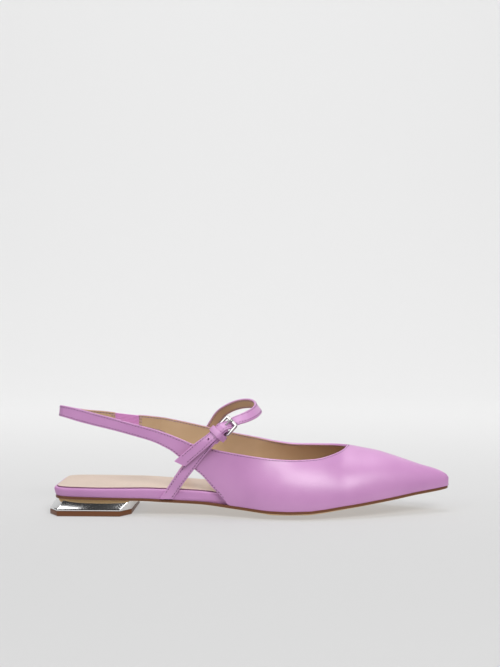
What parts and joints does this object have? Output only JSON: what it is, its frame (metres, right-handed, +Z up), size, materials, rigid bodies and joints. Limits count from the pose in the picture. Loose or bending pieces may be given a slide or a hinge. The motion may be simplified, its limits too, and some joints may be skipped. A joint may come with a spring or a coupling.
{
  "type": "shoe",
  "caption": "women's pointed flat sling back shoe, right foot, lilac smooth leather with an instep strap, square buckle, low mirror heel and brown sole",
  "frame": {"origin": "centre of the heel's tread, on the floor", "axes": "+X runs to the toe, +Y to the inner (medial) side of the right foot, +Z up"},
  "size_m": [0.2739, 0.077, 0.0771],
  "materials": {
    "upper_leather": "smooth calf, satin",
    "footbed_cover": "smooth calf, satin",
    "insole_leather": "matt beige",
    "elastic": "ribbed woven elastic",
    "sole_brown": "waxed, smooth",
    "heel_mirror": "mirror plated",
    "buckle_metal": "polished nickel"
  },
  "bodies": {
    "root": {"outsole": "sole_brown", "top_lift": "sole_brown", "heel_block": "heel_mirror", "footbed": "footbed_cover", "insole_sock": "insole_leather", "upper": "upper_leather", "elastic_gore": "elastic", "buckle_strap": "upper_leather", "instep_strap": "upper_leather", "keeper": "upper_leather", "buckle_frame": "buckle_metal", "buckle_prong": "buckle_metal"}
  },
  "joints": []
}
